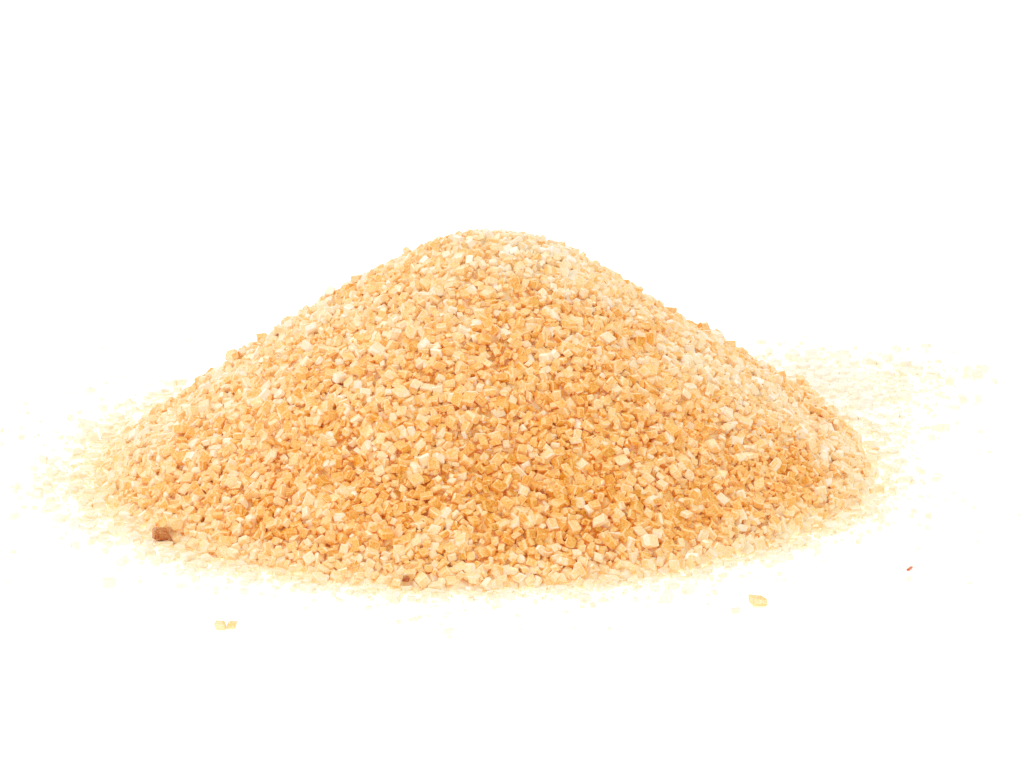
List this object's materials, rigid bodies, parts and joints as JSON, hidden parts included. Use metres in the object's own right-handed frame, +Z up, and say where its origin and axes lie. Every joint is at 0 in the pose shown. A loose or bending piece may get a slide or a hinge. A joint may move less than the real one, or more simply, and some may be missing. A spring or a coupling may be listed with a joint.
{
  "type": "cane sugar heap",
  "caption": "Small heap of raw golden cane sugar with a rounded top, even flanks and a thin apron of loose crystals, lying on its flat base.",
  "frame": {"origin": "middle of the footprint's box, on the table", "axes": "+Z up from the table; the heap's front, as pictured, faces -Y, and its wide apron lies towards +X and +Y"},
  "size_m": [0.0872, 0.0866, 0.0243],
  "materials": {
    "sugar": "translucent golden sugar crystals with glossy facets"
  },
  "bodies": {
    "root": {"sugar_heap": "sugar"}
  },
  "joints": []
}
